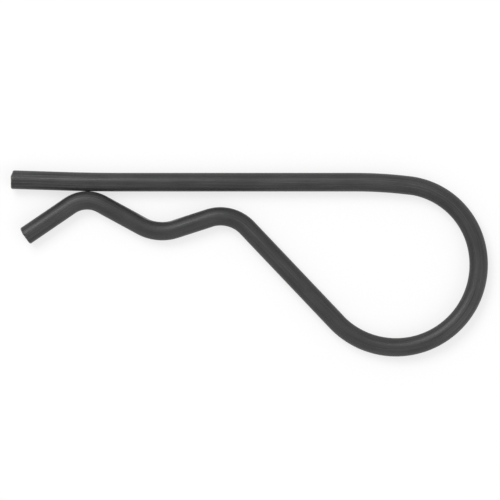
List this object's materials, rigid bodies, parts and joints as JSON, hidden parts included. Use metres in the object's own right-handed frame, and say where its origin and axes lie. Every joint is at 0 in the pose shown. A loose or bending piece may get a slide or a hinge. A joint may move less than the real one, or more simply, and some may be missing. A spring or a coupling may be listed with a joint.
{
  "type": "hitch r clip pin",
  "caption": "R-shaped spring wire clip for locking a cross-drilled shaft: straight leg, wavy leg with a shaft seat, and a round loop to pull on.",
  "frame": {"origin": "where the axis of the locked shaft crosses the axis of the straight leg, in the middle plane of the wire", "axes": "+X along the straight leg towards the loop, +Y from the wavy leg to the straight leg, +Z along the locked shaft"},
  "size_m": [0.0766, 0.0299, 0.003],
  "materials": {
    "spring_steel": "dark grey phosphated, matt"
  },
  "bodies": {
    "root": {"clip_wire": "spring_steel"}
  },
  "joints": []
}
